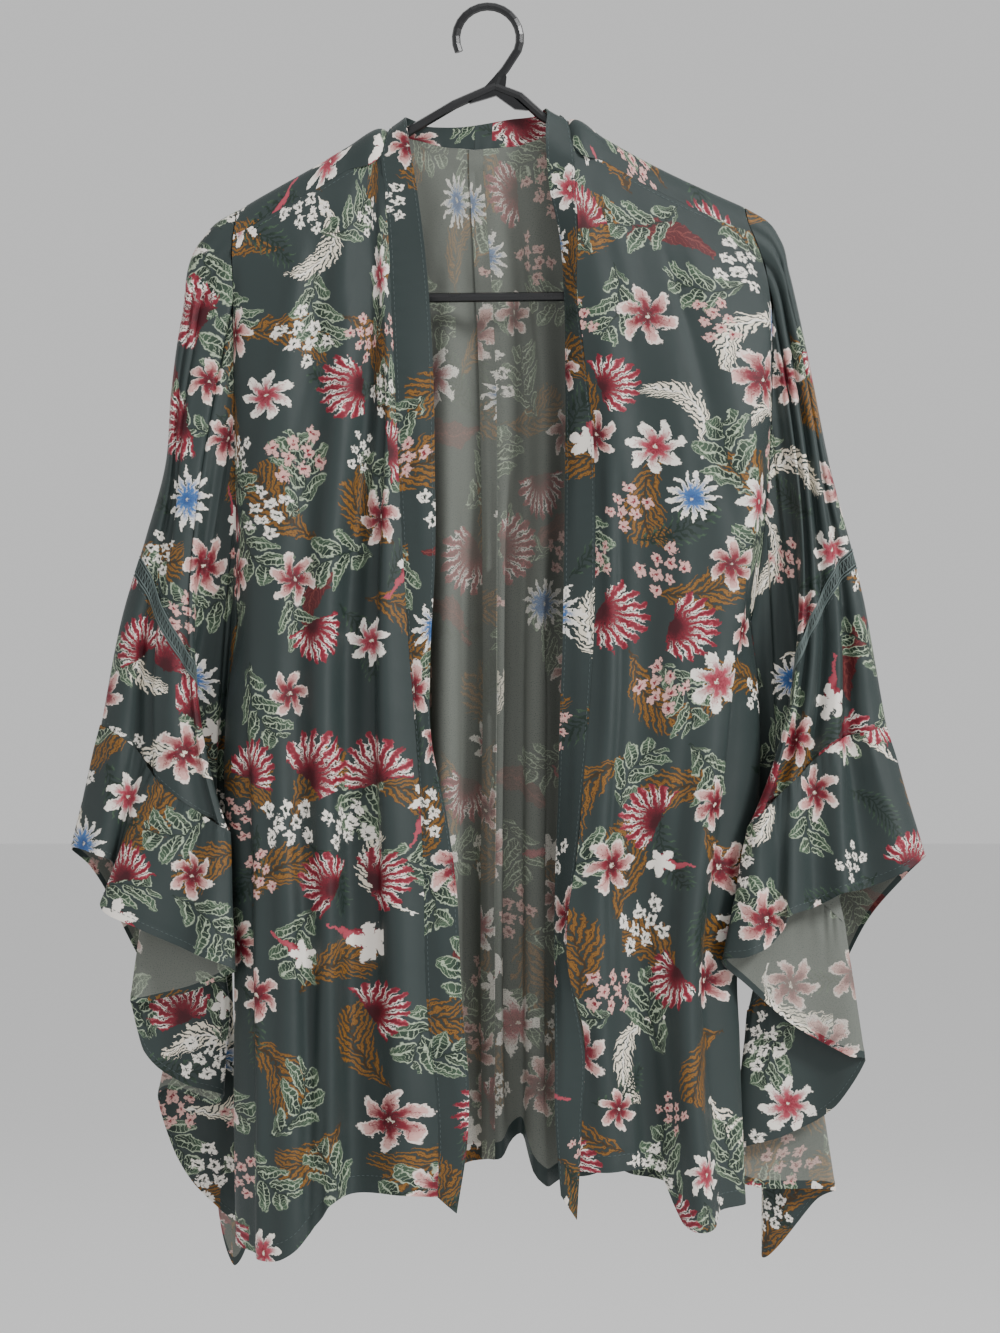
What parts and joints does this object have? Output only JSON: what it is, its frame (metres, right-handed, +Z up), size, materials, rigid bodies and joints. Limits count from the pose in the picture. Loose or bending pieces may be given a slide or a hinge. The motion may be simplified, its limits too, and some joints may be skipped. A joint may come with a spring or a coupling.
{
  "type": "kimono coat on a hanger",
  "caption": "Open-fronted kimono coat with a neck band, dropped sleeves, ladder trim and gathered cuff ruffles, on a tubular hanger.",
  "frame": {"origin": "where a rail touches the inside of the hanger's hook, on the hanger's middle plane", "axes": "+Z up, -Y out of the open front towards the viewer, +X to the viewer's right"},
  "size_m": [0.6437, 0.1081, 0.9584],
  "materials": {
    "printed_satin": "soft satin with a floral print on a slate green ground",
    "ladder_trim": "open ladder trim, matte",
    "hanger_plastic": "black moulded plastic, slight gloss"
  },
  "bodies": {
    "root": {"hanger": "hanger_plastic", "front_left": "printed_satin", "back_left": "printed_satin", "band_left": "printed_satin", "sleeve_upper_left": "printed_satin", "trim_left": "ladder_trim", "sleeve_lower_left": "printed_satin", "ruffle_left": "printed_satin", "front_right": "printed_satin", "back_right": "printed_satin", "band_right": "printed_satin", "sleeve_upper_right": "printed_satin", "trim_right": "ladder_trim", "sleeve_lower_right": "printed_satin", "ruffle_right": "printed_satin"}
  },
  "joints": []
}
